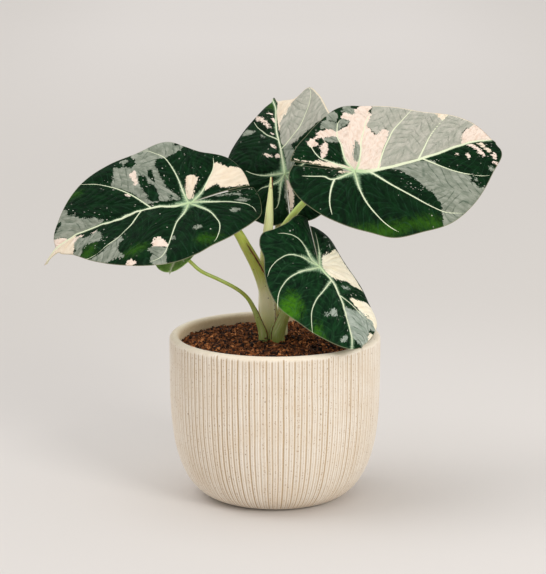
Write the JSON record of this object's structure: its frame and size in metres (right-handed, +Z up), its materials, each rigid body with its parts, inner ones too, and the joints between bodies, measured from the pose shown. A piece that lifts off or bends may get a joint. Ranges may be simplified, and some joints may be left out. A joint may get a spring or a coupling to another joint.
{
  "type": "potted alocasia",
  "caption": "Velvet-leaved variegated alocasia with heart-shaped blades on clasping petioles, rooted in soil in a round finely ribbed stoneware pot.",
  "frame": {"origin": "centre of the pot's flat base, where it rests on the surface", "axes": "+Z up along the pot's axis, -Y towards the plant's front, +X to the right as seen from the front, along the plant's widest spread"},
  "size_m": [0.3012, 0.184, 0.2574],
  "materials": {
    "stoneware": "matt unglazed cream stoneware with fine vertical ribs and small brown speckles",
    "potting_mix": "loose dark brown coir crumbs",
    "corm_skin": "dry fibrous brown skin",
    "petiole": "smooth pale yellow-green stalk",
    "rolled_leaf": "smooth cream-green rolled leaf with a reddish tip",
    "blade": "dark green velvet with pale veins and silver, cream and pink patches",
    "young_blade": "soft light green young leaf"
  },
  "bodies": {
    "root": {"pot": "stoneware", "soil": "potting_mix", "corm": "corm_skin", "petiole_left": "petiole", "petiole_right": "petiole", "petiole_back": "petiole", "petiole_front": "petiole", "petiole_small": "petiole", "new_leaf": "rolled_leaf", "blade_left": "blade", "blade_right": "blade", "blade_back": "blade", "blade_front": "blade", "blade_small": "young_blade"}
  },
  "joints": []
}
